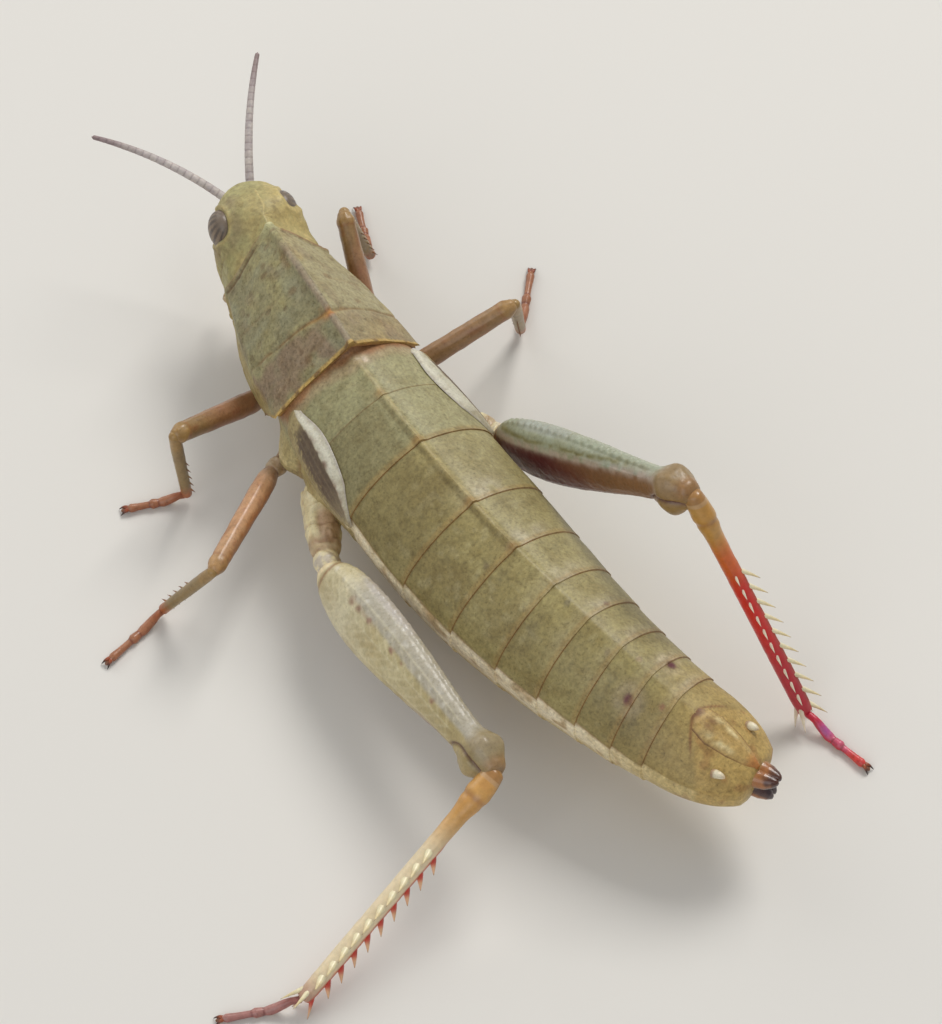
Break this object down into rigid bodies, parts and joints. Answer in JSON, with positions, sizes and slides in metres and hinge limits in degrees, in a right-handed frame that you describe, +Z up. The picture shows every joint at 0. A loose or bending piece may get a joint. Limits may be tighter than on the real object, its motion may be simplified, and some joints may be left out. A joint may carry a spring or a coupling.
{
  "type": "grasshopper",
  "caption": "Still, life-size model of a short-winged female stone grasshopper, standing with its body curved, one hind knee raised and the other leg stretched out on the ground.",
  "frame": {"origin": "bottom centre of the model's bounding box, on the ground it stands on", "axes": "+Z up, the head towards -Y, the animal's left towards +X"},
  "size_m": [0.0552, 0.0702, 0.0186],
  "materials": {
    "head": "fine-grained satin, yellow-green ochre",
    "eye": "glossy, grey-brown with darker upright stripes",
    "antenna": "satin, grey-lilac",
    "pronotum": "rough satin, khaki grey-green",
    "underside": "satin, pale ochre",
    "tegmen": "satin, cream and brown",
    "abdomen": "satin, olive-grey with fine stipple",
    "valve": "glossy, dark brown",
    "walking_leg": "glossy satin, orange-brown",
    "hind_femur": "satin, cream-green",
    "hind_tibia": "glossy satin, ochre to red-orange",
    "tarsus": "satin, dusky red"
  },
  "bodies": {
    "root": {"abdomen_1": "abdomen", "abdomen_2": "abdomen", "abdomen_3": "abdomen", "abdomen_4": "abdomen", "abdomen_5": "abdomen", "abdomen_6": "abdomen", "abdomen_7": "abdomen", "abdomen_8": "abdomen", "abdomen_9": "abdomen", "antenna_left": "antenna", "antenna_right": "antenna", "cercus_left": "tegmen", "cercus_right": "tegmen", "epiproct": "abdomen", "eye_left": "eye", "eye_right": "eye", "fore_left_coxa": "hind_femur", "fore_left_femur": "walking_leg", "fore_left_tarsus": "tarsus", "fore_left_tibia": "walking_leg", "fore_right_coxa": "hind_femur", "fore_right_femur": "walking_leg", "fore_right_tarsus": "tarsus", "fore_right_tibia": "walking_leg", "head": "head", "hind_left_coxa": "hind_femur", "hind_left_femur": "hind_femur", "hind_left_tarsus": "tarsus", "hind_left_tibia": "hind_tibia", "hind_right_coxa": "hind_femur", "hind_right_femur": "hind_femur", "hind_right_tarsus": "tarsus", "hind_right_tibia": "hind_tibia", "metathorax": "underside", "mid_left_coxa": "hind_femur", "mid_left_femur": "walking_leg", "mid_left_tarsus": "tarsus", "mid_left_tibia": "walking_leg", "mid_right_coxa": "hind_femur", "mid_right_femur": "walking_leg", "mid_right_tarsus": "tarsus", "mid_right_tibia": "walking_leg", "ovipositor_lower": "valve", "ovipositor_upper": "valve", "palp_left": "walking_leg", "palp_right": "walking_leg", "pronotum": "pronotum", "sternum": "underside", "tegmen_left": "tegmen", "tegmen_right": "tegmen"}
  },
  "joints": []
}
